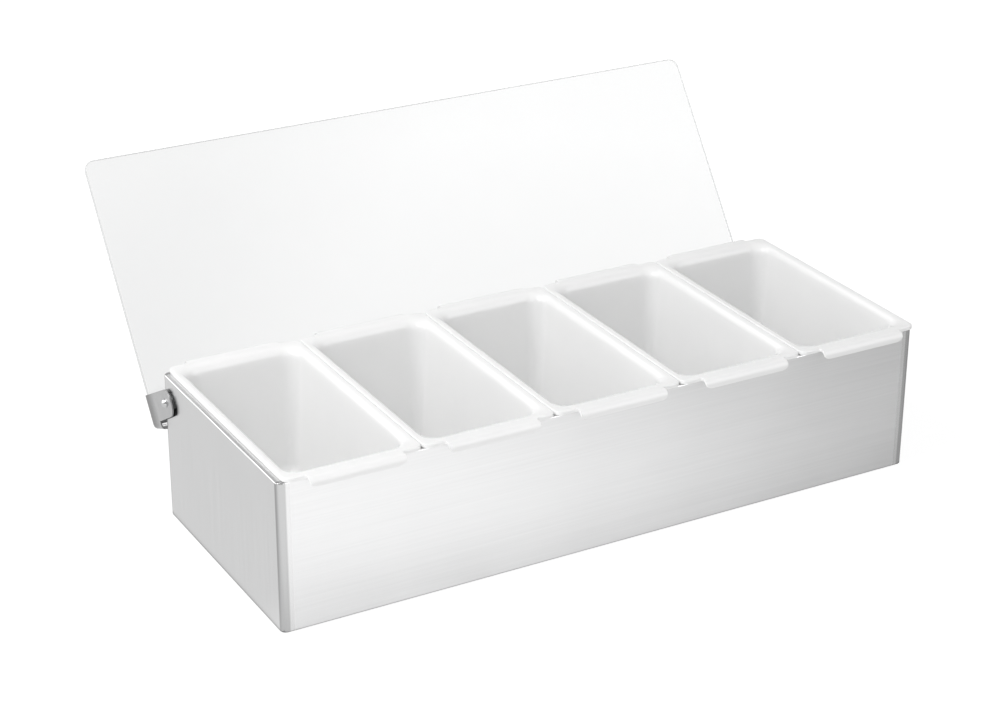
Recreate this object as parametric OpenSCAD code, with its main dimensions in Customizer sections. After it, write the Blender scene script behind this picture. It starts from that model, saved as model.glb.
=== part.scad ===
// Bar-top condiment caddy: a folded steel box that holds five lift-out
// inserts under one clear lid, which swings on two riveted brackets.
// Origin: centre of the flat base. +X along the row of inserts, the hinge
// is at +Y, +Z is up. The lid is drawn open, leaning back on its stops.

/* [Steel box] */
// Width over the two end panels
body_w = 460; // [380:1:520]
// Depth from the front face to the back face
body_d = 174; // [150:1:220]
// Height from the base to the top flange
body_h = 100; // [92:1:130]
// Thickness of the box sheet
sheet_t = 1; // [0.8:0.1:1.5]
// Outer radius of the four upright corners
corner_r = 4; // [3:0.1:4]
// Outer radius of the folds along the base and the top
fold_r = 1.8; // [1.6:0.1:2.6]
// Width of the top flange along the front and the back
flange_w = 7; // [5:0.5:8]
// Width of the top flange at the two ends
end_flange_w = 4; // [3:0.1:4]
// How far the end panels reach round onto the front, base and back
seam_in = 8; // [5:0.5:14]

/* [Inserts] */
// Play left along the row of inserts, inside the width of the box
row_play = 3; // [2:0.5:8]
// How far the row of inserts sits towards the right end
row_shift = 2.2; // [-2.2:0.1:2.2]
// Gap between the rims of two inserts
rim_gap = 0.4; // [0.3:0.1:2]
// Thickness of the rim
rim_t = 2.8; // [2:0.1:3.4]
// How far the rim runs past the front and back faces of the box
rim_over = 1.5; // [1:0.5:3]
// Corner radius of the rim
rim_corner_r = 5; // [4:0.5:12]
// Rounding of the rim's upper edge
rim_edge_r = 0.9; // [0.4:0.1:1.4]
// Width of the rim from its outer edge to the opening, at the long sides
rim_side_w = 7; // [6:0.5:10]
// Wall thickness of an insert
insert_wall = 2; // [1.2:0.1:2.6]
// Gap between an insert and the flange it drops through
insert_clear = 0.8; // [0.4:0.1:1.2]
// Depth of an insert below the top of the box
insert_depth = 86; // [60:1:88]
// Inward lean of the insert walls
draft_angle = 3; // [1:0.5:5]
// Corner radius of the opening
mouth_r = 13; // [8:0.5:14]
// Outer radius round the insert's floor
floor_r = 9; // [6:0.5:12]
// Radius of the rounded lip round the opening
lip_r = 5; // [2:0.2:5.4]

/* [Finger tabs] */
// Length of each finger tab along the rim
tab_w = 63; // [40:1:70]
// How far a tab reaches past the rim
tab_reach = 6; // [5:0.5:7]
// Height of a tab from the rim's top to its lower edge
tab_drop = 6.2; // [5.4:0.2:7]
// Outer radius of the curl of a tab
tab_curl_r = 4; // [3.6:0.2:4.6]
// Radius of the lower corners of a tab
tab_corner_r = 4; // [2:0.5:4.5]

/* [Lid] */
// Thickness of the lid sheet
lid_t = 2.5; // [2:0.1:4]
// Distance from the pivot axis to the underside of the lid
lid_lift = 32.2; // [29:0.2:38]
// How far the closed lid runs past the front face of the box
lid_over = 6.4; // [2:0.2:12]
// Radius of the two free corners of the lid
lid_corner_r = 7; // [3:0.5:15]
// Radius of the two corners of the lid between the brackets
lid_heel_r = 3; // [2.5:0.5:5]
// Gap between each end of the lid and its bracket
lid_side_gap = 0.5; // [0.3:0.1:1.5]
// Angle at which the open lid leans back from upright
open_lean = 36; // [25:1:42]

/* [Hinge brackets] */
// Distance from the back face of the box to the pivot axis
pivot_inset = 7.4; // [7.4:0.1:9]
// Distance from the top of the box down to the pivot axis
pivot_drop = 17.6; // [16:0.1:20]
// Thickness of the bracket sheet
bracket_t = 1; // [0.8:0.1:1.5]
// Outer radius of the fold between side plate and back flange
bracket_fold_r = 1.8; // [1.6:0.1:2]
// Outer radius of the fold between side plate and sill
sill_fold_r = 3; // [2:0.1:3.4]
// Reach of the side plate past the pivot, away from the lid
nose_reach = 10.7; // [10:0.1:12]
// Side plate from the pivot to its upper edge, at the nose
nose_up = 8.2; // [7.6:0.1:9]
// Side plate from the pivot to its lower edge, at the nose
nose_down = 10.2; // [9:0.2:11]
// Radius of the upper corner of the nose
nose_r = 8; // [6:0.5:8.5]
// Radius of the lower corner of the nose
chin_r = 7; // [5:0.5:8]
// How far the upper corner of the nose lies behind the lower one
nose_slant = 0.5; // [0:0.1:2]
// Side plate from the pivot to its upper corner behind the lid
heel_up = 13; // [10:0.5:16]
// Reach of the back flange along the lid
flange_reach = 24; // [20:0.5:40]
// Reach of the sill flange under the lid's edge
sill_reach = 10; // [7:0.5:14]
// Lean of the sill against the lid's normal
sill_skew = 14; // [8:1:18]
// Clearance between the sill and the insert rims as the lid swings
swing_clear = 0.4; // [0.3:0.1:1]
// Gap left between the sill and the back face when the lid is open
stop_gap = 0.1; // [0.05:0.05:0.3]

/* [Rivets] */
// Radius of the pivot rivet's shank
pivot_r = 2; // [1.5:0.1:2.5]
// Radius of the pivot rivet's domed head
pivot_head_r = 3; // [2.8:0.1:4]
// Height of the pivot rivet's domed head
pivot_head_h = 2.2; // [1.2:0.1:2.8]
// Radial clearance of the bracket on the pivot rivet
pivot_clear = 0.05; // [0.03:0.01:0.1]
// Side play of the bracket between spacer and rivet head
side_play = 0.1; // [0.05:0.05:0.3]
// Thickness of the spacer between end panel and bracket
spacer_t = 1.2; // [1:0.1:2]
// Radius of the spacer
spacer_r = 5; // [4:0.5:6]
// Thickness of the washer inside the end panel
backing_t = 0.8; // [0.5:0.1:1.2]
// Radius of the washer inside the end panel
backing_r = 3.3; // [3:0.1:3.3]
// Radius of the lid rivets' shanks
lid_rivet_r = 1.6; // [1.2:0.1:2]
// Radius of the lid rivets' heads
lid_head_r = 2.8; // [2.2:0.1:3.4]
// Height of the lid rivets' heads
lid_head_h = 1.2; // [0.8:0.1:1.6]
// Distance between the two rivets of a bracket
lid_rivet_pitch = 9; // [7:0.5:11]
// Hair gap round rivets that are closed tight
tight = 0.02; // [0.01:0.01:0.05]

/* [Hidden] */
insert_count = 5;
round_fn = 48;
hull_fn = 32;

// the row of inserts
pitch = (body_w - row_play) / insert_count;
rim_w = pitch - rim_gap;
rim_d = body_d + 2 * rim_over;
rim_top = body_h + rim_t;
tub_d = body_d - 2 * flange_w - 2 * insert_clear;
tub_w = rim_w - 2 * (rim_side_w - insert_wall);
tub_floor = body_h - insert_depth;

// the pivot
pivot_y = body_d / 2 - pivot_inset;
pivot_z = body_h - pivot_drop;
plate_x = body_w / 2 + spacer_t + side_play;
outer_x = plate_x + bracket_t;

// the lid, drawn level with the pivot axis at the origin
lid_half_w = plate_x - lid_side_gap;
lid_front = body_d / 2 + pivot_y + lid_over;
lid_back_face = lid_lift + lid_t;
bracket_back = lid_back_face + bracket_t;

// the sill: its front edge passes the rims as the lid swings
// and meets the back face of the box when the lid is open
rim_swing_r = norm([rim_d / 2 - pivot_y, rim_top - pivot_z]);
sill_swing_r = rim_swing_r + swing_clear;
sill_slope = open_lean - sill_skew;
sill_top_y = pivot_inset + stop_gap + bracket_t * sin(sill_slope);
sill_top_z = -sqrt(sill_swing_r * sill_swing_r - sill_top_y * sill_top_y);
sill_low_y = sill_top_y - bracket_t * sin(sill_slope);
sill_low_z = sill_top_z - bracket_t * cos(sill_slope);
// the same edge with the lid level: back from the pivot, and up
sill_back = -(sill_low_y * sin(open_lean) + sill_low_z * cos(open_lean));
sill_up = sill_low_y * cos(open_lean) - sill_low_z * sin(open_lean);
sill_len = (bracket_back - sill_up) / cos(sill_skew);
sill_rise = tan(sill_skew);
heel_back = sill_back - (bracket_back - sill_up) * sill_rise;
lid_back = sill_back - (lid_back_face - sill_up) * sill_rise
    - bracket_t / cos(sill_skew) - tight;
lid_rivet_x = flange_reach / 2;
lid_rivet_back = (heel_back - heel_up) / 2;

// ---- outlines -------------------------------------------------------------

// rectangle with round corners, centred
module round_rect(w, d, r) {
    square([w - 2 * r, d], center = true);
    square([w, d - 2 * r], center = true);
    for (x = [-1, 1], y = [-1, 1])
        translate([x * (w / 2 - r), y * (d / 2 - r)])
            circle(r, $fn = round_fn);
}

// angle section: one leg along +X, one along +Y, with a round outer fold
module fold_section(leg_x, leg_y, t, r) {
    translate([r, 0])
        square([leg_x - r, t]);
    translate([0, r])
        square([t, leg_y - r]);
    difference() {
        intersection() {
            translate([r, r])
                circle(r, $fn = round_fn);
            square([r, r]);
        }
        translate([r, r])
            circle(r - t, $fn = round_fn);
    }
}

// pushes an outline drawn in Y and Z along X
module along_x(length) {
    rotate([90, 0, 90])
        linear_extrude(length)
            children();
}

// ---- steel box ------------------------------------------------------------

// block with round upright corners and round folds along base and top
module folded_block(w, d, h, r, fold) {
    intersection() {
        linear_extrude(h)
            round_rect(w, d, r);
        translate([-w / 2, 0, h / 2])
            along_x(w)
                round_rect(d, h, fold);
        translate([0, d / 2, h / 2])
            rotate([90, 0, 0])
                linear_extrude(d)
                    round_rect(w, h, fold);
    }
}

module box_shell() {
    difference() {
        folded_block(body_w, body_d, body_h, corner_r, fold_r);
        translate([0, 0, sheet_t])
            folded_block(body_w - 2 * sheet_t, body_d - 2 * sheet_t,
                body_h - 2 * sheet_t, corner_r - sheet_t, fold_r - sheet_t);
        translate([0, 0, body_h / 2])
            linear_extrude(body_h)
                round_rect(body_w - 2 * end_flange_w, body_d - 2 * flange_w, corner_r);
    }
}

// front, base and back: one sheet, folded
module body_wrapper() {
    color("gainsboro")
        intersection() {
            box_shell();
            translate([seam_in - body_w / 2, -body_d, -body_h])
                cube([body_w - 2 * seam_in, 2 * body_d, 3 * body_h]);
        }
}

// end panel, folded round all four sides and butt welded to the wrapper
module left_end_panel() {
    color("lightgray")
        difference() {
            intersection() {
                box_shell();
                translate([-body_w, -body_d, -body_h])
                    cube([body_w / 2 + seam_in, 2 * body_d, 3 * body_h]);
            }
            translate([-body_w, pivot_y, pivot_z])
                rotate([0, 90, 0])
                    cylinder(h = body_w, r = pivot_r + tight, $fn = round_fn);
        }
}

module right_end_panel() {
    mirror([1, 0, 0])
        left_end_panel();
}

// ---- pivots ---------------------------------------------------------------

// ring on the pivot axis, from x0 towards the middle of the box
module pivot_ring(x0, t, r) {
    translate([x0, pivot_y, pivot_z])
        rotate([0, 90, 0])
            difference() {
                cylinder(h = t, r = r, $fn = round_fn);
                translate([0, 0, -t])
                    cylinder(h = 3 * t, r = pivot_r + tight, $fn = round_fn);
            }
}

// domed rivet head, seat at z = 0 and crown at z = h
module dome(r, h) {
    ball_r = (r * r + h * h) / (2 * h);
    rotate_extrude($fn = round_fn)
        intersection() {
            translate([0, h - ball_r])
                circle(ball_r, $fn = round_fn);
            square([r, h]);
        }
}

module left_pivot_rivet() {
    head_x = -outer_x - side_play;
    tail_x = -body_w / 2 + sheet_t + backing_t;
    color("silver")
        translate([0, pivot_y, pivot_z]) {
            translate([head_x, 0, 0])
                rotate([0, 90, 0])
                    cylinder(h = tail_x - head_x, r = pivot_r, $fn = round_fn);
            translate([head_x, 0, 0])
                rotate([0, -90, 0])
                    dome(pivot_head_r, pivot_head_h);
            translate([tail_x, 0, 0])
                rotate([0, 90, 0])
                    dome(pivot_head_r, pivot_head_h / 2);
        }
}

module right_pivot_rivet() {
    mirror([1, 0, 0])
        left_pivot_rivet();
}

module left_spacer_washer() {
    color("gray")
        pivot_ring(-body_w / 2 - spacer_t, spacer_t, spacer_r);
}

module right_spacer_washer() {
    mirror([1, 0, 0])
        left_spacer_washer();
}

module left_backing_washer() {
    color("gray")
        pivot_ring(-body_w / 2 + sheet_t, backing_t, backing_r);
}

module right_backing_washer() {
    mirror([1, 0, 0])
        left_backing_washer();
}

// ---- inserts --------------------------------------------------------------

// carries an outline round a round-cornered rectangle: its x = 0 runs
// along the rectangle's edge, its +X points outwards and its +Y up
module round_sweep(w, d, r) {
    for (turn = [0, 90, 180, 270]) {
        across = turn % 180 == 0 ? w : d;
        along = turn % 180 == 0 ? d : w;
        rotate([0, 0, turn]) {
            translate([across / 2, along / 2 - r, 0])
                rotate([90, 0, 0])
                    linear_extrude(along - 2 * r)
                        children();
            translate([across / 2 - r, along / 2 - r, 0])
                rotate_extrude(angle = 90, $fn = round_fn)
                    translate([r, 0])
                        children();
        }
    }
}

// flat rim with a rounded upper edge
module rim_form() {
    flat_w = rim_w - 2 * rim_edge_r;
    flat_d = rim_d - 2 * rim_edge_r;
    linear_extrude(rim_t - rim_edge_r)
        round_rect(rim_w, rim_d, rim_corner_r);
    linear_extrude(rim_t)
        round_rect(flat_w, flat_d, rim_corner_r - rim_edge_r);
    translate([0, 0, rim_t - rim_edge_r])
        round_sweep(flat_w, flat_d, rim_corner_r - rim_edge_r)
            intersection() {
                circle(rim_edge_r, $fn = round_fn);
                square(rim_edge_r);
            }
}

// tapered tub with a straight collar, round all along its floor
module tub_form(w, d, r, bottom_r, collar_h, low) {
    lean = (body_h - low) * tan(draft_angle);
    hull() {
        translate([0, 0, body_h])
            linear_extrude(collar_h)
                round_rect(w, d, r, $fn = hull_fn);
        for (x = [-1, 1], y = [-1, 1])
            translate([x * (w / 2 - lean - bottom_r),
                y * (d / 2 - lean - bottom_r), low + bottom_r])
                sphere(bottom_r, $fn = hull_fn);
    }
}

// what is cut from the rim: the straight mouth and its rounded lip
module mouth_form(w, d) {
    linear_extrude(2 * rim_t)
        round_rect(w, d, mouth_r);
    translate([0, 0, rim_t])
        round_sweep(w, d, mouth_r)
            difference() {
                translate([-rim_t / 2, -lip_r])
                    square([lip_r + rim_t / 2, lip_r + rim_t / 2]);
                translate([lip_r, -lip_r])
                    circle(lip_r, $fn = round_fn);
            }
}

// curled finger tab at the back of the rim
module finger_tab() {
    curl_y = rim_d / 2 + tab_reach - tab_curl_r;
    curl_z = rim_top - tab_curl_r;
    low_z = rim_top - tab_drop;
    intersection() {
        translate([-tab_w / 2, 0, 0])
            along_x(tab_w) {
                translate([rim_d / 2 - rim_corner_r, body_h])
                    square([curl_y - rim_d / 2 + rim_corner_r, rim_t]);
                difference() {
                    intersection() {
                        translate([curl_y, curl_z])
                            circle(tab_curl_r, $fn = round_fn);
                        translate([curl_y, curl_z])
                            square(tab_curl_r);
                    }
                    translate([curl_y, curl_z])
                        circle(tab_curl_r - rim_t, $fn = round_fn);
                }
                translate([curl_y + tab_curl_r - rim_t, low_z])
                    square([rim_t, curl_z - low_z]);
            }
        translate([0, body_d, low_z + tab_w / 2])
            rotate([90, 0, 0])
                linear_extrude(body_d)
                    round_rect(tab_w, tab_w, tab_corner_r);
    }
}

// one moulded insert, at its place in the row
module insert_tub(place) {
    mouth_w = tub_w - 2 * insert_wall;
    mouth_d = tub_d - 2 * insert_wall;
    color("whitesmoke")
        translate([(place - (insert_count + 1) / 2) * pitch + row_shift, 0, 0])
            difference() {
                union() {
                    translate([0, 0, body_h])
                        rim_form();
                    tub_form(tub_w, tub_d, mouth_r + insert_wall, floor_r,
                        rim_t / 2, tub_floor);
                    finger_tab();
                    mirror([0, 1, 0])
                        finger_tab();
                }
                tub_form(mouth_w, mouth_d, mouth_r, floor_r - insert_wall,
                    rim_t / 2, tub_floor + insert_wall);
                translate([0, 0, body_h])
                    mouth_form(mouth_w, mouth_d);
            }
}

module insert_1() { insert_tub(1); }
module insert_2() { insert_tub(2); }
module insert_3() { insert_tub(3); }
module insert_4() { insert_tub(4); }
module insert_5() { insert_tub(5); }

// ---- lid ------------------------------------------------------------------
// Everything on the lid is drawn with the lid level and the pivot axis
// at the origin, then swung open.

module swung_open() {
    translate([0, pivot_y, pivot_z])
        rotate([-(90 + open_lean), 0, 0])
            children();
}

// clear flat sheet
module lid_sheet() {
    color([0.9, 0.95, 1, 0.3])
        swung_open()
            difference() {
                translate([0, 0, lid_lift])
                    linear_extrude(lid_t) {
                        translate([0, (lid_back - lid_front) / 2])
                            round_rect(2 * lid_half_w, lid_front + lid_back,
                                lid_corner_r);
                        translate([0, lid_back / 2 - lid_corner_r])
                            round_rect(2 * lid_half_w, lid_back + 2 * lid_corner_r,
                                lid_heel_r);
                    }
                for (side = [-1, 1])
                    lid_rivet_holes(side);
            }
}

// the holes that the lid rivets pass through
module lid_rivet_holes(side) {
    for (end = [-1, 1])
        translate([side * (outer_x - lid_rivet_x),
            lid_rivet_back + end * lid_rivet_pitch / 2, 0])
            cylinder(h = 2 * lid_lift, r = lid_rivet_r + tight, $fn = round_fn);
}

// side plate seen from its end: a blunt nose round the pivot, widening
// towards the lid
module side_plate_outline() {
    heel_r = bracket_fold_r;
    hull() {
        translate([nose_r - nose_up, nose_r - nose_reach + nose_slant])
            circle(nose_r, $fn = round_fn);
        translate([nose_down - chin_r, chin_r - nose_reach])
            circle(chin_r, $fn = hull_fn);
        translate([heel_r - heel_up, bracket_back - heel_r - bracket_fold_r])
            circle(heel_r, $fn = hull_fn);
        translate([heel_back - sill_fold_r - heel_r,
            bracket_back - heel_r - bracket_fold_r])
            circle(heel_r, $fn = hull_fn);
    }
    // web down to the sill
    polygon([
        [sill_back - sill_fold_r, sill_up],
        [heel_back - sill_fold_r, bracket_back - bracket_fold_r],
        [-heel_up / 2, bracket_back - bracket_fold_r],
        [-heel_up / 2, sill_up]
    ]);
}

// folded steel bracket: side plate on the pivot, back flange behind the
// lid, and a sill under the lid's edge that is also the open stop
module left_hinge_bracket() {
    color("darkgray")
        swung_open()
            difference() {
                translate([-outer_x, 0, 0]) {
                    along_x(bracket_t)
                        side_plate_outline();
                    translate([0, heel_back, bracket_back])
                        rotate([90, 0, 0])
                            linear_extrude(heel_back + heel_up - bracket_fold_r)
                                mirror([0, 1])
                                    fold_section(flange_reach,
                                        2 * bracket_fold_r, bracket_t,
                                        bracket_fold_r);
                    translate([0, sill_back, sill_up])
                        rotate([sill_skew, 0, 0])
                            linear_extrude(sill_len - bracket_fold_r)
                                mirror([0, 1])
                                    fold_section(sill_reach,
                                        2 * sill_fold_r, bracket_t,
                                        sill_fold_r);
                }
                translate([-2 * outer_x, 0, 0])
                    rotate([0, 90, 0])
                        cylinder(h = 2 * outer_x, r = pivot_r + pivot_clear,
                            $fn = round_fn);
                lid_rivet_holes(-1);
            }
}

module right_hinge_bracket() {
    mirror([1, 0, 0])
        left_hinge_bracket();
}

// one of the two small rivets that clamp the lid to the left bracket
module left_lid_rivet(end) {
    color("silver")
        swung_open()
            translate([lid_rivet_x - outer_x,
                lid_rivet_back + end * lid_rivet_pitch / 2, 0]) {
                translate([0, 0, lid_lift])
                    cylinder(h = bracket_back - lid_lift, r = lid_rivet_r,
                        $fn = round_fn);
                translate([0, 0, bracket_back])
                    dome(lid_head_r, lid_head_h);
                translate([0, 0, lid_lift])
                    mirror([0, 0, 1])
                        dome(lid_head_r, lid_head_h);
            }
}

module left_upper_lid_rivet() {
    left_lid_rivet(-1);
}

module left_lower_lid_rivet() {
    left_lid_rivet(1);
}

module right_upper_lid_rivet() {
    mirror([1, 0, 0])
        left_lid_rivet(-1);
}

module right_lower_lid_rivet() {
    mirror([1, 0, 0])
        left_lid_rivet(1);
}

body_wrapper();
left_end_panel();
right_end_panel();
left_pivot_rivet();
right_pivot_rivet();
left_spacer_washer();
right_spacer_washer();
left_backing_washer();
right_backing_washer();
insert_1();
insert_2();
insert_3();
insert_4();
insert_5();
lid_sheet();
left_hinge_bracket();
right_hinge_bracket();
left_upper_lid_rivet();
left_lower_lid_rivet();
right_upper_lid_rivet();
right_lower_lid_rivet();
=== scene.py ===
import math

import bmesh
import bpy
from mathutils import Euler, Matrix, Vector


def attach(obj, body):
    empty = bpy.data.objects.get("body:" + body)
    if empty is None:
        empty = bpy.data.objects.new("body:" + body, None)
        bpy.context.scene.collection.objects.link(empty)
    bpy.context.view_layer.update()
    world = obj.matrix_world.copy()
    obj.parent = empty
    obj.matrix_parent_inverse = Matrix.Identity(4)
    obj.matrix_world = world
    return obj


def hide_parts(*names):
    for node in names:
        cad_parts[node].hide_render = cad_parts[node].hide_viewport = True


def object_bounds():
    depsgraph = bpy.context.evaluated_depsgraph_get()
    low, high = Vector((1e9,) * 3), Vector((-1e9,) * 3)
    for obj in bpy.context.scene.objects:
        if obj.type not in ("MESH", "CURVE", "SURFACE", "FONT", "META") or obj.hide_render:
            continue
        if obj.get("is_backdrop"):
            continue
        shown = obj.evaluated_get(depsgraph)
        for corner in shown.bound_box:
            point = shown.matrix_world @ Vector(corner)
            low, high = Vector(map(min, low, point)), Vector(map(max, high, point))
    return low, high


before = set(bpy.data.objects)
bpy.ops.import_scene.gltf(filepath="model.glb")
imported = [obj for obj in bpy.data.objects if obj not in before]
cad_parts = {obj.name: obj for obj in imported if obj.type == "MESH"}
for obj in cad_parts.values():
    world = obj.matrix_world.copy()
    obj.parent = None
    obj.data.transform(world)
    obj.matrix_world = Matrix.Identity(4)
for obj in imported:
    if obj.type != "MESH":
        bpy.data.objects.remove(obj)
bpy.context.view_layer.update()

# ---------------------------------------------------------------------------
# Camera: a three-quarter view from the front left and a little above.
view_turn = math.radians(-29.32)
view_rise = math.radians(24.59)
view_roll = math.radians(0.19)
view_reach = 1.67628
view_target = Vector((0.01604, 0.08859, 0.06))

camera_data = bpy.data.cameras.new("camera")
camera_data.lens = 88.03
camera_data.sensor_width = 36.0
camera_data.sensor_fit = "HORIZONTAL"
camera = bpy.data.objects.new("camera", camera_data)
bpy.context.scene.collection.objects.link(camera)
outward = Vector((
    math.sin(view_turn) * math.cos(view_rise),
    -math.cos(view_turn) * math.cos(view_rise),
    math.sin(view_rise)))
camera.location = view_target + view_reach * outward
look = (-outward).to_track_quat("-Z", "Y").to_matrix()
camera.rotation_euler = (look @ Euler((0, 0, view_roll)).to_matrix()).to_euler()
bpy.context.scene.camera = camera
bpy.context.scene.view_settings.view_transform = "Standard"

# ---------------------------------------------------------------------------
# Box, front to back. One sheet of 1 mm stainless steel is folded up at the
# front and the back and turned in along the top to carry the inserts. It is
# brushed along its length, and welded to an end panel at each end.
# Everything is drawn in millimetres and brought to metres when it is done.
mm = 0.001
box_w, box_d, box_h = 460.0, 174.0, 100.0
sheet_t = 1.0
corner_r = 4.0
fold_r = 0.8
side_lip_w = 7.0
end_lip_w = 4.0
seam_x = 222.0
cut_edge_r = 0.15


def bevel(shape, geom, offset, steps, affect="EDGES"):
    """Rounds edges or corners by that many steps."""
    return bmesh.ops.bevel(
        shape, geom=geom, offset=offset, offset_type="OFFSET", affect=affect,
        segments=steps, profile=0.5, material=-1, clamp_overlap=True)


def rounded_ring(shape, half_x, half_y, corner, z, steps):
    """A closed ring of edges round a rectangle with round corners."""
    before = set(shape.faces)
    sheet = bmesh.ops.create_grid(
        shape, x_segments=1, y_segments=1, size=1.0,
        matrix=Matrix.Translation((0, 0, z)) @ Matrix.Diagonal((half_x, half_y, 1, 1)))
    bevel(shape, sheet["verts"], corner, steps, "VERTICES")
    face = [f for f in shape.faces if f not in before][0]
    ring = list(face.edges)
    bmesh.ops.delete(shape, geom=[face], context="FACES_ONLY")
    return ring


def keep_side(shape, point, direction):
    """Cuts the shape on a plane and clears what lies ahead of it."""
    bmesh.ops.bisect_plane(
        shape, geom=shape.verts[:] + shape.edges[:] + shape.faces[:], dist=1e-4,
        plane_co=point, plane_no=direction, clear_outer=True)


def box_skin():
    """Outer face of the whole box, with the lip that turns in round the top."""
    skin = bmesh.new()
    bmesh.ops.create_cube(
        skin, size=1.0,
        matrix=Matrix.Translation((0, 0, box_h / 2))
        @ Matrix.Diagonal((box_w, box_d, box_h, 1)))
    upright = [e for e in skin.edges
               if abs(e.verts[0].co.z - e.verts[1].co.z) > box_h / 2]
    bevel(skin, upright, corner_r, 8)
    level = [e for e in skin.edges
             if abs(e.verts[0].co.z - e.verts[1].co.z) < sheet_t]
    bevel(skin, level, fold_r, 5)
    top = max(skin.faces, key=lambda f: f.calc_center_median().z)
    bmesh.ops.inset_individual(skin, faces=[top], thickness=sheet_t, use_even_offset=True)
    reach = Vector((max(v.co.x for v in top.verts), max(v.co.y for v in top.verts)))
    bmesh.ops.scale(skin, verts=top.verts, vec=(
        (box_w / 2 - end_lip_w) / reach.x, (box_d / 2 - side_lip_w) / reach.y, 1))
    bmesh.ops.delete(skin, geom=[top], context="FACES_ONLY")
    bmesh.ops.recalc_face_normals(skin, faces=skin.faces)
    return skin


def make_piece(shape, name, material, sharp=35.0):
    """Turns a shape in millimetres into a finished object in metres."""
    bmesh.ops.transform(shape, matrix=Matrix.Scale(mm, 4), verts=shape.verts)
    mesh = bpy.data.meshes.new(name)
    shape.to_mesh(mesh)
    shape.free()
    mesh.shade_smooth()
    mesh.set_sharp_from_angle(angle=math.radians(sharp))
    mesh.materials.append(material)
    piece = bpy.data.objects.new(name, mesh)
    bpy.context.scene.collection.objects.link(piece)
    return piece


def shade_evenly(piece):
    """Keeps the shading of flat faces flat beside their rounded edges."""
    even = piece.modifiers.new("even_shading", "WEIGHTED_NORMAL")
    even.keep_sharp = True


def give_thickness(piece, thickness, edge):
    """Gives a folded sheet its wall, soft cut edges and even shading."""
    wall = piece.modifiers.new("wall", "SOLIDIFY")
    wall.thickness = thickness * mm
    wall.offset = -1.0
    wall.use_even_offset = True
    soft = piece.modifiers.new("soft_edge", "BEVEL")
    soft.width = edge * mm
    soft.segments = 2
    soft.limit_method = "ANGLE"
    soft.angle_limit = math.radians(50)
    shade_evenly(piece)


def place(tree, kind, sockets=None, **settings):
    """Adds a node, with its settings and what goes into its sockets."""
    node = tree.nodes.new(kind)
    for name, value in settings.items():
        setattr(node, name, value)
    for name, value in (sockets or {}).items():
        if isinstance(value, bpy.types.NodeSocket):
            tree.links.new(value, node.inputs[name])
        else:
            node.inputs[name].default_value = value
    return node


def new_group(name, takes, gives):
    """A shader node group with named sockets, and its two ends."""
    group = bpy.data.node_groups.new(name, "ShaderNodeTree")
    for label, kind in takes:
        group.interface.new_socket(label, in_out="INPUT", socket_type=kind)
    for label, kind in gives:
        group.interface.new_socket(label, in_out="OUTPUT", socket_type=kind)
    return group, group.nodes.new("NodeGroupInput"), group.nodes.new("NodeGroupOutput")


def mixed(tree, share, low, high):
    """A colour between low and high, by share: sockets 6 and 7, and output 2."""
    node = tree.nodes.new("ShaderNodeMix")
    node.data_type = "RGBA"
    tree.links.new(share, node.inputs[0])
    for slot, colour in ((6, low), (7, high)):
        if isinstance(colour, bpy.types.NodeSocket):
            tree.links.new(colour, node.inputs[slot])
        else:
            node.inputs[slot].default_value = (*colour, 1)
    return node.outputs[2]


def ranged(tree, value, low, high, start=0.0, end=1.0):
    """A value carried from the span start..end to the span low..high."""
    return place(tree, "ShaderNodeMapRange", {
        "Value": value, "From Min": start, "From Max": end,
        "To Min": low, "To Max": high}).outputs[0]


FLOAT, VECTOR = "NodeSocketFloat", "NodeSocketVector"

# Brushing: long fine scratches one way, with wider pale and dark lines and
# faint clouds where the belt pressed harder. Tone is their even mix.
brushing, ends_in, ends_out = new_group(
    "brushing", [("Grain", VECTOR), ("Place", VECTOR)],
    [("Tone", FLOAT), ("Height", FLOAT)])
hair = place(brushing, "ShaderNodeTexNoise", {
    "Vector": ends_in.outputs["Grain"], "Scale": 1.0, "Detail": 4.0, "Roughness": 0.7})
line = place(brushing, "ShaderNodeTexNoise", {
    "Vector": ends_in.outputs["Grain"], "Scale": 0.45, "Detail": 2.0, "Roughness": 0.5})
cloud = place(brushing, "ShaderNodeTexNoise", {
    "Vector": ends_in.outputs["Place"], "Scale": 14.0, "Detail": 3.0, "Roughness": 0.55})
hair_and_line = place(brushing, "ShaderNodeMath", {
    0: hair.outputs["Fac"], 1: line.outputs["Fac"]}, operation="ADD")
all_three = place(brushing, "ShaderNodeMath", {
    0: hair_and_line.outputs[0], 1: cloud.outputs["Fac"]}, operation="ADD")
third = place(brushing, "ShaderNodeMath", {
    0: all_three.outputs[0], 1: 3.0}, operation="DIVIDE")
brushing.links.new(ranged(brushing, third.outputs[0], 0.0, 1.0, 0.36, 0.64),
                   ends_out.inputs["Tone"])
brushing.links.new(hair.outputs["Fac"], ends_out.inputs["Height"])


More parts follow.
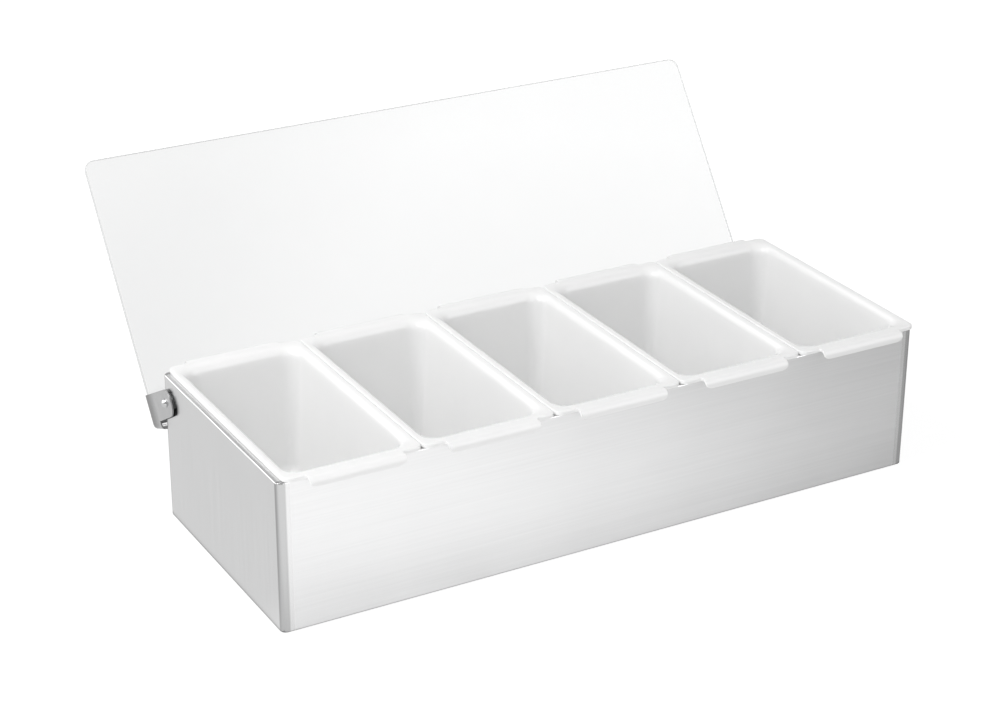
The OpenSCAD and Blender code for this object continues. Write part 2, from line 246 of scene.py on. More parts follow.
def brushed_steel(name, grain, dark, light, smooth, rough, depth, shaded=None):
    """Brushed steel whose scratches are stretched by the three grain numbers.

    Where it is given, shaded(tree, place) says how much of its colour is kept.
    """
    material = bpy.data.materials.new(name)
    material.use_nodes = True
    tree = material.node_tree
    metal = tree.nodes["Principled BSDF"]
    where = tree.nodes.new("ShaderNodeTexCoord").outputs["Object"]
    stretched = place(tree, "ShaderNodeMapping", {"Vector": where, "Scale": grain})
    brush = place(tree, "ShaderNodeGroup", node_tree=brushing)
    tree.links.new(stretched.outputs[0], brush.inputs["Grain"])
    tree.links.new(where, brush.inputs["Place"])
    tone = brush.outputs["Tone"]
    colour = mixed(tree, tone, dark, light)
    if shaded:
        colour = mixed(tree, shaded(tree, where), (0, 0, 0), colour)
    tree.links.new(colour, metal.inputs["Base Color"])
    tree.links.new(ranged(tree, tone, smooth, rough), metal.inputs["Roughness"])
    bump = place(tree, "ShaderNodeBump", {
        "Height": brush.outputs["Height"], "Strength": depth, "Distance": 0.00005})
    tree.links.new(bump.outputs[0], metal.inputs["Normal"])
    metal.inputs["Metallic"].default_value = 1.0
    return material


wrapper_steel = brushed_steel(
    "brushed_box_steel", (14.0, 1500.0, 1500.0),
    (0.715, 0.716, 0.718), (0.765, 0.766, 0.768), 0.28, 0.36, 0.25)

wrapper_shape = box_skin()
for side in (-1, 1):
    keep_side(wrapper_shape, (side * seam_x, 0, 0), (side, 0, 0))
wrapper = make_piece(wrapper_shape, "wrapper_sheet", wrapper_steel)
give_thickness(wrapper, sheet_t, cut_edge_r)
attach(wrapper, "box")
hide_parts("body_wrapper")

# ---------------------------------------------------------------------------
# End panels. Each is a flat end folded 8 mm round on to the front, the base,
# the back and the top, butt welded to the wrapper and ground smooth. Its
# brushing runs upright, so it takes the light less than the front does, and
# the round corners are left duller by the wheel that ground the weld. A darker
# line where each corner starts is a painted dark reflection.
ground_y_from, ground_y_full = 0.0826, 0.0836
ground_x_from, ground_x_full = 0.2252, 0.2242
# Where each round corner starts, a darker line is painted: a painted dark reflection.
reflection_line_from, reflection_line_to = 0.0842, 0.0852
reflection_line_kept, corner_kept = 0.60, 0.70


def ground_corner_and_reflection(tree, where):
    """Share of colour kept: less on the ground corners, least on a painted dark reflection
    where they start.
    """
    parts = place(tree, "ShaderNodeSeparateXYZ", {"Vector": where})
    across = place(tree, "ShaderNodeMath", {0: parts.outputs["X"]}, operation="ABSOLUTE")
    along = place(tree, "ShaderNodeMath", {0: parts.outputs["Y"]}, operation="ABSOLUTE")
    band = place(tree, "ShaderNodeMath", {
        0: ranged(tree, along.outputs[0], 0.0, 1.0, ground_y_from, ground_y_full),
        1: ranged(tree, across.outputs[0], 0.0, 1.0, ground_x_full, ground_x_from)},
        operation="MULTIPLY")
    kept = ranged(tree, along.outputs[0], reflection_line_kept, corner_kept,
                  reflection_line_from, reflection_line_to)
    loss = place(tree, "ShaderNodeMath", {0: 1.0, 1: kept}, operation="SUBTRACT")
    lost = place(tree, "ShaderNodeMath", {
        0: band.outputs[0], 1: loss.outputs[0]}, operation="MULTIPLY")
    return place(tree, "ShaderNodeMath", {
        0: 1.0, 1: lost.outputs[0]}, operation="SUBTRACT").outputs[0]


end_steel = brushed_steel(
    "ground_end_steel", (900.0, 900.0, 30.0),
    (0.668, 0.669, 0.671), (0.718, 0.719, 0.721), 0.19, 0.26, 0.3, ground_corner_and_reflection)

for side, label in ((-1, "left"), (1, "right")):
    end_shape = box_skin()
    keep_side(end_shape, (side * seam_x, 0, 0), (-side, 0, 0))
    end_piece = make_piece(end_shape, label + "_end_sheet", end_steel)
    give_thickness(end_piece, sheet_t, cut_edge_r)
    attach(end_piece, "box")
    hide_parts(label + "_end_panel")

# ---------------------------------------------------------------------------
# Pivots. A domed steel rivet through each end panel carries the lid's
# bracket, with a spacer washer outside and a thin washer under its tail.
pivot_inset, pivot_drop = 7.4, 17.6
pivot_y, pivot_z = box_d / 2 - pivot_inset, box_h - pivot_drop
pivot_r = 2.0
pivot_head_r, pivot_head_h = 3.0, 2.2
spacer_t, backing_t, side_play, plate_t = 1.2, 0.8, 0.1, 1.0
plate_x = box_w / 2 + spacer_t + side_play
outer_x = plate_x + plate_t

polished_steel = brushed_steel(
    "polished_rivet_steel", (260.0, 260.0, 260.0),
    (0.560, 0.562, 0.566), (0.640, 0.642, 0.646), 0.10, 0.16, 0.05)
washer_steel = brushed_steel(
    "satin_washer_steel", (900.0, 120.0, 900.0),
    (0.520, 0.522, 0.528), (0.620, 0.622, 0.628), 0.36, 0.46, 0.2)


def dome(radius, height, steps=8):
    """Half outline of a shallow dome: (reach along the axis, radius)."""
    ball = (radius ** 2 + height ** 2) / (2 * height)
    half_turn = math.asin(min(1.0, radius / ball))
    if height > radius:
        half_turn = math.pi - half_turn
    return [(height - ball + ball * math.cos(half_turn * i / steps),
             ball * math.sin(half_turn * i / steps)) for i in range(steps + 1)]


def turned(outline, centre, axis, steps=40):
    """Spins a half outline of (reach along the axis, radius) into a solid."""
    axis = Vector(axis).normalized()
    across = axis.orthogonal().normalized()
    shape = bmesh.new()
    row = [shape.verts.new(Vector(centre) + axis * along + across * radius)
           for along, radius in outline]
    line = [shape.edges.new(pair) for pair in zip(row, row[1:])]
    bmesh.ops.spin(
        shape, geom=row + line, cent=centre, axis=axis, dvec=(0, 0, 0),
        angle=2 * math.pi, steps=steps, use_merge=True)
    bmesh.ops.remove_doubles(shape, verts=shape.verts, dist=1e-4)
    bmesh.ops.recalc_face_normals(shape, faces=shape.faces)
    return shape


for side, label in ((-1, "left"), (1, "right")):
    head_x = outer_x + side_play
    tail_x = box_w / 2 - sheet_t - backing_t
    head = [(head_x + a, r) for a, r in dome(pivot_head_r, pivot_head_h)]
    tail = [(tail_x - a, r) for a, r in dome(pivot_head_r, pivot_head_h / 2)]
    rivet_outline = head + [(head_x, pivot_r), (tail_x, pivot_r)] + tail[::-1]
    rivet_shape = turned(rivet_outline, (0, pivot_y, pivot_z), (side, 0, 0))
    rivet = make_piece(rivet_shape, label + "_pivot_stud", polished_steel)
    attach(rivet, "box")
    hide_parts(label + "_pivot_rivet")
    for washer in (label + "_spacer_washer", label + "_backing_washer"):
        washer_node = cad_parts[washer]
        washer_node.data.materials.clear()
        washer_node.data.materials.append(washer_steel)

# ---------------------------------------------------------------------------
# Inserts. Five tapered tubs are moulded in milky white plastic, each with a
# flat rim, a soft rolled lip round its mouth and a finger tab that curls down
# at the front and the back. They hang in the box by their rims.
insert_count = 5
insert_pitch = 91.4
row_shift = 2.2
rim_half_x, rim_half_y = 45.62, 88.5
rim_top, rim_under = 102.8, 100.0
rim_corner = 5.0
rim_round = 0.9
crown = 0.08
mouth_half_x, mouth_half_y, mouth_corner = 38.6, 78.6, 12.0
lip_side, lip_end, lip_deep, lip_corner = 3.8, 6.0, 6.0, 8.0
shoulder_side, shoulder_end = 0.8, 1.6
wall_t, root_fillet = 2.0, 1.0
draft = math.tan(math.radians(3.0))
inner_floor, floor_round = 16.0, 7.0
floor_corner, corner_growth = 3.0, 0.6
tab_half, tab_reach = 31.5, 6.0
tab_curl_r, tab_tip_z, tab_corner = 4.0, 96.6, 4.0
tab_shoulder, under_edge = 0.25, 0.1
inner_rows, outer_rows = (40.0, 60.0, 80.0, 95.0), (98.8, 70.0, 45.0)
same = 0.01  # lengths this close count as the same

plastic_skin, ends_in, ends_out = new_group(
    "moulded_skin", [("Place", VECTOR)],
    [("Tone", FLOAT), ("Height", FLOAT)])
flow = place(plastic_skin, "ShaderNodeTexNoise", {
    "Vector": ends_in.outputs["Place"], "Scale": 22.0, "Detail": 3.0, "Roughness": 0.5})
peel = place(plastic_skin, "ShaderNodeTexNoise", {
    "Vector": ends_in.outputs["Place"], "Scale": 700.0, "Detail": 2.0, "Roughness": 0.5})
plastic_skin.links.new(
    ranged(plastic_skin, flow.outputs["Fac"], 0.0, 1.0, 0.3, 0.7),
    ends_out.inputs["Tone"])
plastic_skin.links.new(peel.outputs["Fac"], ends_out.inputs["Height"])

milky_plastic = bpy.data.materials.new("milky_plastic")
milky_plastic.use_nodes = True
tree = milky_plastic.node_tree
plastic = tree.nodes["Principled BSDF"]
where = tree.nodes.new("ShaderNodeTexCoord").outputs["Object"]
skin = place(tree, "ShaderNodeGroup", node_tree=plastic_skin)
tree.links.new(where, skin.inputs["Place"])
tree.links.new(mixed(tree, skin.outputs["Tone"], (0.895, 0.896, 0.895),
                     (0.915, 0.915, 0.913)), plastic.inputs["Base Color"])
tree.links.new(ranged(tree, skin.outputs["Tone"], 0.20, 0.26), plastic.inputs["Roughness"])
bump = place(tree, "ShaderNodeBump", {
    "Height": skin.outputs["Height"], "Strength": 0.08, "Distance": 0.0001})
tree.links.new(bump.outputs[0], plastic.inputs["Normal"])

tab_stations = [end * (tab_half + past) for end, past in (
    (-1, 2.7), (-1, 0.0), (-1, -3.0), (1, -3.0), (1, 0.0), (1, 2.7))]
corner_steps, side_cuts = 6, 5


def tub_ring(shape, half_x, half_y, corner, z):
    """A ring of the tub, cut at the tab's stations along its front and back."""
    ring = rounded_ring(shape, half_x, half_y, corner, z, corner_steps)
    straight = half_x - corner
    for long_side in (0, 1):
        ends = [e for e in ring
                if abs(e.verts[0].co[1 - long_side] - e.verts[1].co[1 - long_side]) < 1e-4
                and (e.verts[0].co - e.verts[1].co).length > straight]
        for edge in ends:
            cut = bmesh.ops.subdivide_edges(
                shape, edges=[edge], cuts=side_cuts if long_side else len(tab_stations))
            fresh = [v for v in cut["geom_inner"] if isinstance(v, bmesh.types.BMVert)]
            if not long_side:
                fresh.sort(key=lambda v: v.co.x)
                for vert, station in zip(fresh, tab_stations):
                    vert.co.x = station * straight / (rim_half_x - rim_corner)
            ring.remove(edge)
            ring += [e for e in cut["geom_split"] if isinstance(e, bmesh.types.BMEdge)]
    return list(set(ring))


def floor_arc(radius, turns):
    """Sizes of the rings of a rounded floor, at these degrees from straight down."""
    base = floor_round + draft * (rim_under - inner_floor)
    for turn in turns:
        out = radius * math.sin(math.radians(turn))
        yield (mouth_half_x - base + out, mouth_half_y - base + out,
               floor_corner + corner_growth * out,
               inner_floor + floor_round - radius * math.cos(math.radians(turn)))


def tub_profile():
    """Sizes of the rings from the inner floor over the rim to the outer floor."""
    rings = list(floor_arc(floor_round, (0, 18, 36, 54, 72, 87)))
    wall_foot = inner_floor + floor_round
    foot_corner = floor_corner + corner_growth * floor_round
    for z in inner_rows:
        lean = draft * (rim_under - z)
        share = (z - wall_foot) / (rim_under - wall_foot)
        rings.append((mouth_half_x - lean, mouth_half_y - lean,
                      foot_corner + (mouth_corner - foot_corner) * share, z))
    for turn in (0, 18, 36, 54, 72, 90):
        out = 1 - math.cos(math.radians(turn))
        up = lip_deep * (math.sin(math.radians(turn)) - 1)
        rings.append((mouth_half_x + lip_side * out, mouth_half_y + lip_end * out,
                      mouth_corner + (lip_corner - mouth_corner) * out,
                      rim_top - crown + up))
    flat_x, flat_y = rim_half_x - rim_round, rim_half_y - rim_round
    rings.append((flat_x - shoulder_side, flat_y - shoulder_end, rim_corner,
                  rim_top - crown / 2))
    for turn in (0, 45, 90):
        out = rim_round * math.sin(math.radians(turn))
        rings.append((flat_x + out, flat_y + out, rim_corner - rim_round + out,
                      rim_top - rim_round + rim_round * math.cos(math.radians(turn))))
    rings.append((rim_half_x, rim_half_y, rim_corner, rim_under + 1.5 * under_edge))
    rings.append((rim_half_x - under_edge, rim_half_y - under_edge,
                  rim_corner - under_edge, rim_under))
    rings.append((mouth_half_x + wall_t + root_fillet, mouth_half_y + wall_t + root_fillet,
                  mouth_corner + wall_t, rim_under - under_edge))
    for z in outer_rows:
        lean = draft * (rim_under - z)
        rings.append((mouth_half_x + wall_t - lean, mouth_half_y + wall_t - lean,
                      mouth_corner + wall_t - lean / 2, z))
    return rings + list(floor_arc(floor_round + wall_t, (87, 65, 43, 21, 0)))


def curl_tab(shape, side):
    """Draws the rim out between two stations and curls it down into a tab."""
    edge_y = side * rim_half_y
    close = rim_round / 2
    on_rim = [v for v in shape.verts if abs(v.co.x) < tab_half + same]
    upper = [v for v in on_rim if side * v.co.y > rim_half_y - rim_round + same
             and v.co.z > rim_top - rim_round - same]
    for vert in upper:
        vert.co.y = edge_y - side * tab_shoulder * (vert.co.z > rim_top - close)
        vert.co.z = rim_top
    lower = [v for v in on_rim if side * v.co.y > rim_half_y - close
             and v.co.z < rim_under + close]
    for vert in lower:
        vert.co.y = edge_y
    rows = [f for f in shape.faces
            if abs(f.calc_center_median().x) < tab_half and side * f.normal.y > 0.9
            and side * f.calc_center_median().y > rim_half_y - close]
    curl_steps, drop_steps = 6, 3
    curl_y = side * (rim_half_y + tab_reach - tab_curl_r)
    curl_z = rim_top - tab_curl_r
    pivot = Matrix.Translation((0, curl_y, curl_z))
    turn = Matrix.Rotation(-side * math.pi / 2 / curl_steps, 4, "X")
    moves = [Matrix.Translation((0, curl_y - edge_y, 0))]
    moves += [pivot @ turn @ pivot.inverted()] * curl_steps
    moves += [Matrix.Translation((0, 0, (tab_tip_z - curl_z) / drop_steps))] * drop_steps
    for move in moves:
        grown = bmesh.ops.extrude_face_region(shape, geom=rows)
        bmesh.ops.delete(shape, geom=rows, context="FACES")
        fresh = [v for v in grown["geom"] if isinstance(v, bmesh.types.BMVert)]
        bmesh.ops.transform(shape, matrix=move, verts=fresh)
        rows = [f for f in grown["geom"] if isinstance(f, bmesh.types.BMFace)]
        tip = max(abs(v.co.y) for v in fresh)
        low = min(v.co.z for v in fresh if abs(v.co.y) > tip - same)
        drop = tab_tip_z + tab_corner - low
        if drop > 0:
            half = tab_half - tab_corner + math.sqrt(max(0.0, tab_corner ** 2 - drop ** 2))
            widest = max(abs(v.co.x) for v in fresh)
            bmesh.ops.scale(shape, vec=(half / widest, 1, 1), verts=fresh)


def tub_shape():
    """One insert, centred on x = 0."""
    shape = bmesh.new()
    rings = [tub_ring(shape, *size) for size in tub_profile()]
    for lower, upper in zip(rings, rings[1:]):
        bmesh.ops.bridge_loops(shape, edges=lower + upper)
    for ring in (rings[0], rings[-1]):
        filled = bmesh.ops.edgeloop_fill(shape, edges=ring)
        bmesh.ops.inset_region(shape, faces=filled["faces"], thickness=floor_corner / 2,
                               use_even_offset=True)
    bmesh.ops.remove_doubles(shape, verts=shape.verts, dist=1e-4)
    bmesh.ops.recalc_face_normals(shape, faces=shape.faces)
    for side in (-1, 1):
        curl_tab(shape, side)
    bmesh.ops.recalc_face_normals(shape, faces=shape.faces)
    return shape


for number in range(1, insert_count + 1):
    insert_shape = tub_shape()
    across = (number - (insert_count + 1) / 2) * insert_pitch + row_shift
    bmesh.ops.translate(insert_shape, vec=(across, 0, 0), verts=insert_shape.verts)
    insert = make_piece(insert_shape, "moulded_insert_%d" % number, milky_plastic, sharp=80.0)
    smooth = insert.modifiers.new("smooth_moulding", "SUBSURF")
    smooth.levels = smooth.render_levels = 2
    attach(insert, "insert_%d_body" % number)
    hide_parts("insert_%d" % number)

# ---------------------------------------------------------------------------
# Lid. A flat sheet of clear acrylic, 2.5 mm thick, with flame-polished edges
# and round front corners. Everything that moves with it is drawn with the lid
# level and the pivot axis at the origin, y backwards, then swung open.
lid_play = 0.5
lid_half_x = plate_x - lid_play
lid_front, lid_back = 173.0, 8.59
lid_under, lid_t = 32.2, 2.5
lid_corner, heel_corner, lid_edge_r = 7.0, 3.0, 0.4
open_pose = (Matrix.Translation((0, pivot_y, pivot_z))
             @ Matrix.Rotation(math.radians(-126), 4, "X"))

clear_acrylic = bpy.data.materials.new("clear_acrylic")
clear_acrylic.use_nodes = True
tree = clear_acrylic.node_tree
clear = tree.nodes["Principled BSDF"]
where = tree.nodes.new("ShaderNodeTexCoord").outputs["Object"]
marks = place(tree, "ShaderNodeTexNoise", {
    "Vector": where, "Scale": 35.0, "Detail": 4.0, "Roughness": 0.6})
tree.links.new(mixed(tree, marks.outputs["Fac"], (0.800, 0.803, 0.803), (0.818, 0.821, 0.821)),
               clear.inputs["Base Color"])
tree.links.new(ranged(tree, marks.outputs["Fac"], 0.0, 0.03), clear.inputs["Roughness"])
clear.inputs["Transmission Weight"].default_value = 1.0
clear.inputs["IOR"].default_value = 1.49
path = tree.nodes.new("ShaderNodeLightPath")
through = tree.nodes.new("ShaderNodeBsdfTransparent")
through.inputs["Color"].default_value = (0.96, 0.97, 0.97, 1)
choice = tree.nodes.new("ShaderNodeMixShader")
tree.links.new(path.outputs["Is Shadow Ray"], choice.inputs[0])
tree.links.new(clear.outputs[0], choice.inputs[1])
tree.links.new(through.outputs[0], choice.inputs[2])
tree.links.new(choice.outputs[0], tree.nodes["Material Output"].inputs["Surface"])

# The cut edges are flame polished: they show as a thin pale grey line.
edge_share = 0.46
acrylic_edge = bpy.data.materials.new("acrylic_edge")
acrylic_edge.use_nodes = True
tree = acrylic_edge.node_tree
edge = tree.nodes["Principled BSDF"]
where = tree.nodes.new("ShaderNodeTexCoord").outputs["Object"]
saw = place(tree, "ShaderNodeTexNoise", {
    "Vector": where, "Scale": 180.0, "Detail": 3.0, "Roughness": 0.6})
tree.links.new(mixed(tree, saw.outputs["Fac"], (0.40, 0.41, 0.41), (0.52, 0.53, 0.53)),
               edge.inputs["Base Color"])
edge.inputs["Roughness"].default_value = 0.15
clear_part = tree.nodes.new("ShaderNodeBsdfTransparent")
choice = tree.nodes.new("ShaderNodeMixShader")
choice.inputs[0].default_value = edge_share
tree.links.new(clear_part.outputs[0], choice.inputs[1])
tree.links.new(edge.outputs[0], choice.inputs[2])
tree.links.new(choice.outputs[0], tree.nodes["Material Output"].inputs["Surface"])

lid_shape = bmesh.new()
bmesh.ops.create_grid(
    lid_shape, x_segments=1, y_segments=1, size=1.0,
    matrix=Matrix.Translation((0, (lid_back - lid_front) / 2, lid_under))
    @ Matrix.Diagonal((lid_half_x, (lid_back + lid_front) / 2, 1, 1)))
bevel(lid_shape, [v for v in lid_shape.verts if v.co.y < 0], lid_corner, 10, "VERTICES")
bevel(lid_shape, [v for v in lid_shape.verts if v.co.y > 0], heel_corner, 6, "VERTICES")
grown = bmesh.ops.extrude_face_region(lid_shape, geom=lid_shape.faces[:])
bmesh.ops.translate(lid_shape, vec=(0, 0, lid_t),
                    verts=[v for v in grown["geom"] if isinstance(v, bmesh.types.BMVert)])
bmesh.ops.recalc_face_normals(lid_shape, faces=lid_shape.faces)
rims = [e for e in lid_shape.edges
        if len(e.link_faces) == 2 and e.calc_face_angle() > math.radians(60)]
bevel(lid_shape, rims, lid_edge_r, 3)
for face in lid_shape.faces:
    face.normal_update()
    is_flat = abs(face.normal.z) > 0.99
    face.material_index = 0 if is_flat else 1
bmesh.ops.transform(lid_shape, matrix=open_pose, verts=lid_shape.verts)
lid = make_piece(lid_shape, "clear_lid_sheet", clear_acrylic)
lid.data.materials.append(acrylic_edge)
shade_evenly(lid)
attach(lid, "lid")
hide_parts("lid_sheet")

# ---------------------------------------------------------------------------
# Hinge brackets. Each is folded from 1 mm polished steel: a side plate that
# turns on the pivot, a flange behind the lid, and a sill under the lid's edge
# that leans on the back of the box when the lid is open.
bracket_up = lid_under + lid_t + plate_t
flange_fold_r, sill_fold_r = 2.6, 3.0
flange_reach, sill_reach = 24.0, 10.0
flange_corner, sill_corner = 3.0, 2.0
plate_top = bracket_up - flange_fold_r
heel_front, heel_back = -13.0, 7.04
sill_back, sill_up = 10.53, 19.1
web_back = 7.8
chin_r, nose_r = 7.0, 7.2
# Corners of the side plate, level: how far back and how far up each lies from
# the pivot, and the radius of its corner.
plate_outline = (
    ((heel_front, plate_top), 0.0), ((-7.3, -10.2), chin_r), ((10.7, -10.7), nose_r),
    ((web_back, sill_up), 0.0), ((sill_back, sill_up), 0.0), ((heel_back, plate_top), 0.0))
# The band of the side plate along the flange fold is painted darker: a painted dark reflection
# of the bend.
fold_shade_from, fold_shade_full, fold_shade_kept = 0.0185, 0.0290, 0.50


def painted_fold_shade(tree, where):
    """Share of colour kept: less along the fold, a painted dark reflection of its bend."""
    upward = open_pose.to_3x3() @ Vector((0, 0, 1))
    level = place(tree, "ShaderNodeVectorMath", {0: where, 1: upward}, operation="DOT_PRODUCT")
    start = mm * upward.dot(Vector((0, pivot_y, pivot_z)))
    return ranged(tree, level.outputs["Value"], 1.0, fold_shade_kept,
                  start + fold_shade_from, start + fold_shade_full)


bracket_steel = brushed_steel(
    "polished_bracket_steel", (60.0, 500.0, 500.0),
    (0.460, 0.461, 0.464), (0.530, 0.531, 0.534), 0.16, 0.24, 0.1, painted_fold_shade)
# The cut edges are darker than the plate: partly their duller sheared finish, partly painted
# shade of the gap beside the plate.
cut_steel_and_gap_shade = brushed_steel(
    "sheared_edge_steel_and_shade", (700.0, 700.0, 700.0),
    (0.300, 0.300, 0.302), (0.420, 0.420, 0.423), 0.40, 0.50, 0.2)


def spun_out(shape, edge, centre, axis, turn, steps):
    """Rolls an edge round an axis and returns the edge that it ends at."""
    for _ in range(steps):
        grown = bmesh.ops.extrude_edge_only(shape, edges=[edge])
        fresh = [v for v in grown["geom"] if isinstance(v, bmesh.types.BMVert)]
        edge = [e for e in grown["geom"] if isinstance(e, bmesh.types.BMEdge)][0]
        bmesh.ops.rotate(shape, cent=centre, verts=fresh,
                         matrix=Matrix.Rotation(turn / steps, 3, axis))
    return edge


def drawn_out(shape, edge, way):
    """Draws an edge out straight and returns the edge that it ends at."""
    grown = bmesh.ops.extrude_edge_only(shape, edges=[edge])
    fresh = [v for v in grown["geom"] if isinstance(v, bmesh.types.BMVert)]
    bmesh.ops.translate(shape, vec=way, verts=fresh)
    return [e for e in grown["geom"] if isinstance(e, bmesh.types.BMEdge)][0]


def bracket_shape():
    """The left bracket as an open skin, level."""
    shape = bmesh.new()
    corners = [shape.verts.new((-outer_x, back, up)) for (back, up), _ in plate_outline]
    shape.faces.new(corners)
    front_of_heel, sill_foot, back_of_heel = corners[0], corners[4], corners[5]
    top = shape.edges.get((back_of_heel, front_of_heel))
    low = shape.edges.get((sill_foot, back_of_heel))
    flange = spun_out(shape, top, (-outer_x + flange_fold_r, 0, plate_top),
                      (0, 1, 0), math.radians(90), 6)
    flange = drawn_out(shape, flange, (flange_reach - flange_fold_r, 0, 0))
    slope = (back_of_heel.co - sill_foot.co).normalized()
    sill = spun_out(shape, low, sill_foot.co + Vector((sill_fold_r, 0, 0)),
                    slope, math.radians(-90), 6)
    sill = drawn_out(shape, sill, (sill_reach - sill_fold_r, 0, 0))
    for corner, (_, radius) in zip(corners, plate_outline):
        if radius:
            bevel(shape, [corner], radius, 10, "VERTICES")
    bevel(shape, list(flange.verts), flange_corner, 5, "VERTICES")
    bevel(shape, list(sill.verts), sill_corner, 5, "VERTICES")
    bmesh.ops.recalc_face_normals(shape, faces=shape.faces)
    if min(shape.faces, key=lambda f: f.calc_center_median().z).normal.x > 0:
        bmesh.ops.reverse_faces(shape, faces=shape.faces)
    return shape


for side, label in ((-1, "left"), (1, "right")):
    bracket = bracket_shape()
    if side > 0:
        bmesh.ops.scale(bracket, vec=(-1, 1, 1), verts=bracket.verts)
        bmesh.ops.reverse_faces(bracket, faces=bracket.faces)
    bmesh.ops.transform(bracket, matrix=open_pose, verts=bracket.verts)
    bracket_piece = make_piece(bracket, label + "_folded_bracket", bracket_steel)
    bracket_piece.data.materials.append(cut_steel_and_gap_shade)
    give_thickness(bracket_piece, plate_t, 0.12)
    bracket_piece.modifiers["wall"].material_offset_rim = 1
    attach(bracket_piece, "lid")
    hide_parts(label + "_hinge_bracket")

# ---------------------------------------------------------------------------
# Lid rivets. Two small domed rivets clamp the lid to the flange of each
# bracket, with a head on both sides.
lid_rivet_x = outer_x - flange_reach / 2
lid_rivet_back = -1.805
lid_rivet_pitch = 9.0
lid_rivet_r, lid_head_r, lid_head_h = 1.6, 2.8, 1.2

for side, label in ((-1, "left"), (1, "right")):
    for end, place_name in ((-1, "upper"), (1, "lower")):
        cap = dome(lid_head_r, lid_head_h)
        outline = [(bracket_up + a, r) for a, r in cap]
        outline += [(bracket_up, lid_rivet_r), (lid_under, lid_rivet_r)]
        outline += [(lid_under - a, r) for a, r in cap[::-1]]
        centre = (side * lid_rivet_x, lid_rivet_back + end * lid_rivet_pitch / 2, 0)
        small_rivet = turned(outline, centre, (0, 0, 1), steps=28)
        bmesh.ops.transform(small_rivet, matrix=open_pose, verts=small_rivet.verts)
        rivet_piece = make_piece(
            small_rivet, "%s_%s_clamp_rivet" % (label, place_name), polished_steel)
        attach(rivet_piece, "lid")
        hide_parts("%s_%s_lid_rivet" % (label, place_name))

# ---------------------------------------------------------------------------
# Studio: a white floor that keeps a faint shadow, deepened near the box by painted
# shade, a pale surround and large soft lamps above, to the left and in front.
# Polished metal sees a floor that glows with painted light, fading from left to
# right, with painted shade near the box and a painted contact shadow at its foot,
# and a surround with bright panels to two sides that is dim behind the camera.
surround_diffuse = 0.62
sky_low, sky_high = 0.62, 2.90
panel_full, panel_from = -0.262, -0.198
dim_from, dim_full, dim_kept = 0.70, 0.86, 0.40
# The floor's glow seen in reflections is painted light: a fade from left to right, painted
# shade near the box and a painted contact shadow round its foot.
floor_left, floor_right = 1.43, 0.64
fade_from, fade_to = -0.15, 0.42
floor_near, floor_far = 0.61, 0.95
near_from, near_full = -0.20, -0.03
contact_dark, contact_in, contact_out = 0.12, -0.0005, 0.002
# Seen directly, the floor's glow is dimmer near the box: painted shade round it, added to the
# real faint shadow.
glow_near, glow_from, glow_full = 0.90, 0.30, 0.70
floor_half, floor_drop = 4.0, 0.0003
lamp_aim = Vector((0, 0, 0.05))
lamps = (
    ("softbox_above", (-1.0, 0.0, 1.4), 0.8, 0.8, 11.0),
    ("softbox_left", (-1.4, -0.1, 0.9), 1.0, 1.0, 1.9),
    ("softbox_front", (-0.8, -1.3, 1.0), 0.8, 0.8, 3.1),
)


def seen_plainly(tree):
    """Two shares: looked at straight or through the lid, and seen mirrored."""
    path = tree.nodes.new("ShaderNodeLightPath")
    seen = place(tree, "ShaderNodeMath", {
        0: path.outputs["Is Camera Ray"], 1: path.outputs["Is Transmission Ray"]},
        operation="MAXIMUM")
    return seen.outputs[0], path.outputs["Is Glossy Ray"]


def either_of(tree, share, low, high):
    """The first shader where share is 0, the second where it is 1."""
    node = tree.nodes.new("ShaderNodeMixShader")
    for slot, socket in enumerate((share, low, high)):
        tree.links.new(socket, node.inputs[slot])
    return node.outputs[0]


floor_mesh = bpy.data.meshes.new("studio_floor")
floor_shape = bmesh.new()
bmesh.ops.create_grid(floor_shape, x_segments=1, y_segments=1, size=floor_half,
                      matrix=Matrix.Translation((0, 0, -floor_drop)))
floor_shape.to_mesh(floor_mesh)
floor_shape.free()
floor = bpy.data.objects.new("studio_floor", floor_mesh)
bpy.context.scene.collection.objects.link(floor)
floor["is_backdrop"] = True
floor_white = bpy.data.materials.new("floor_white")
floor_white.use_nodes = True
tree = floor_white.node_tree
tree.nodes.remove(tree.nodes["Principled BSDF"])
seen, glossy = seen_plainly(tree)
where = tree.nodes.new("ShaderNodeTexCoord").outputs["Object"]
spot = place(tree, "ShaderNodeSeparateXYZ", {"Vector": where})
fade = place(tree, "ShaderNodeMapRange", {
    "Value": spot.outputs["X"], "From Min": fade_from, "From Max": fade_to,
    "To Min": floor_left, "To Max": floor_right}, interpolation_type="SMOOTHSTEP")
nearness = place(tree, "ShaderNodeMapRange", {
    "Value": spot.outputs["Y"], "From Min": near_from, "From Max": near_full,
    "To Min": floor_far, "To Max": floor_near}, interpolation_type="SMOOTHSTEP")
gaps = []
for axis, reach in (("X", box_w), ("Y", box_d)):
    from_middle = place(tree, "ShaderNodeMath", {0: spot.outputs[axis]}, operation="ABSOLUTE")
    gaps.append(place(tree, "ShaderNodeMath", {
        0: from_middle.outputs[0], 1: mm * reach / 2}, operation="SUBTRACT").outputs[0])
outside = place(tree, "ShaderNodeMath", {0: gaps[0], 1: gaps[1]}, operation="MAXIMUM")
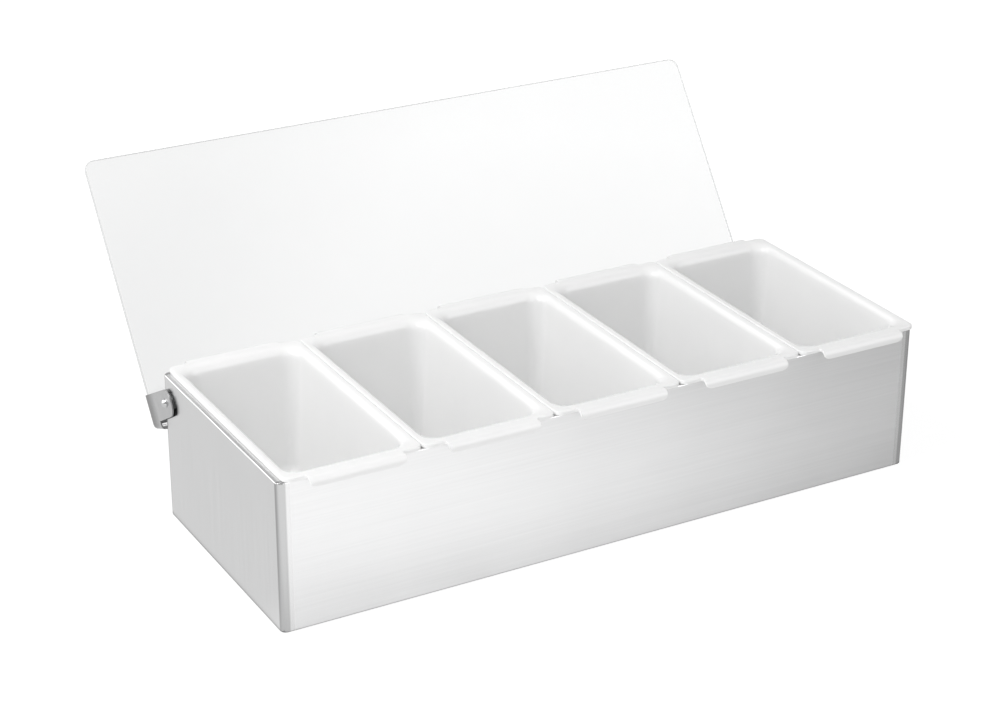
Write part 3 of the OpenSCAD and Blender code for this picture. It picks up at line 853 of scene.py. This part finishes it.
# Painted contact shadow in the floor's reflected glow, round the box's foot.
contact = ranged(tree, outside.outputs[0], contact_dark, 1.0, contact_in, contact_out)
brightness = place(tree, "ShaderNodeMath", {
    0: fade.outputs[0], 1: nearness.outputs[0]}, operation="MULTIPLY")
brightness = place(tree, "ShaderNodeMath", {
    0: brightness.outputs[0], 1: contact}, operation="MULTIPLY")
away = place(tree, "ShaderNodeVectorMath", {0: where}, operation="LENGTH")
far_glow = ranged(tree, away.outputs["Value"], glow_near, 1.0, glow_from, glow_full)
plain = place(tree, "ShaderNodeBsdfDiffuse", {"Color": (0.92, 0.92, 0.92, 1)})
mirrored = place(tree, "ShaderNodeEmission", {"Strength": brightness.outputs[0]})
shade = place(tree, "ShaderNodeBsdfDiffuse", {"Color": (0.16, 0.16, 0.16, 1)})
glow = place(tree, "ShaderNodeEmission", {"Strength": far_glow})
white = tree.nodes.new("ShaderNodeAddShader")
tree.links.new(shade.outputs[0], white.inputs[0])
tree.links.new(glow.outputs[0], white.inputs[1])
others = either_of(tree, glossy, plain.outputs[0], mirrored.outputs[0])
tree.links.new(either_of(tree, seen, others, white.outputs[0]),
               tree.nodes["Material Output"].inputs["Surface"])
floor_mesh.materials.append(floor_white)

world = bpy.data.worlds.new("pale_surround")
bpy.context.scene.world = world
world.use_nodes = True
tree = world.node_tree
seen, glossy = seen_plainly(tree)
toward = tree.nodes.new("ShaderNodeTexCoord").outputs["Generated"]
way = place(tree, "ShaderNodeSeparateXYZ", {"Vector": toward})
crossed = place(tree, "ShaderNodeMath", {
    0: way.outputs["X"], 1: way.outputs["Y"]}, operation="MULTIPLY")
panels = place(tree, "ShaderNodeMapRange", {
    "Value": crossed.outputs[0], "From Min": panel_full, "From Max": panel_from,
    "To Min": sky_high, "To Max": sky_low}, interpolation_type="SMOOTHSTEP")
facing = place(tree, "ShaderNodeVectorMath", {0: toward, 1: outward}, operation="DOT_PRODUCT")
dim_side = ranged(tree, facing.outputs["Value"], 1.0, dim_kept, dim_from, dim_full)
sky = place(tree, "ShaderNodeMath", {
    0: panels.outputs[0], 1: dim_side}, operation="MULTIPLY").outputs[0]
surround = tree.nodes["Background"]
surround.inputs["Color"].default_value = (1, 1, 1, 1)
surround.inputs["Strength"].default_value = surround_diffuse
mirrored = place(tree, "ShaderNodeBackground", {"Color": (1, 1, 1, 1), "Strength": sky})
backdrop = place(tree, "ShaderNodeBackground", {"Color": (1, 1, 1, 1), "Strength": 1.0})
others = either_of(tree, glossy, surround.outputs[0], mirrored.outputs[0])
tree.links.new(either_of(tree, seen, others, backdrop.outputs[0]),
               tree.nodes["World Output"].inputs["Surface"])

for name, place_at, wide, high, watts in lamps:
    data = bpy.data.lights.new(name, "AREA")
    data.shape = "RECTANGLE"
    data.size, data.size_y = wide, high
    data.energy = watts
    lamp = bpy.data.objects.new(name, data)
    bpy.context.scene.collection.objects.link(lamp)
    lamp.location = place_at
    lamp.rotation_euler = (lamp_aim - Vector(place_at)).to_track_quat("-Z", "Y").to_euler()

# ---------------------------------------------------------------------------
low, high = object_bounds()
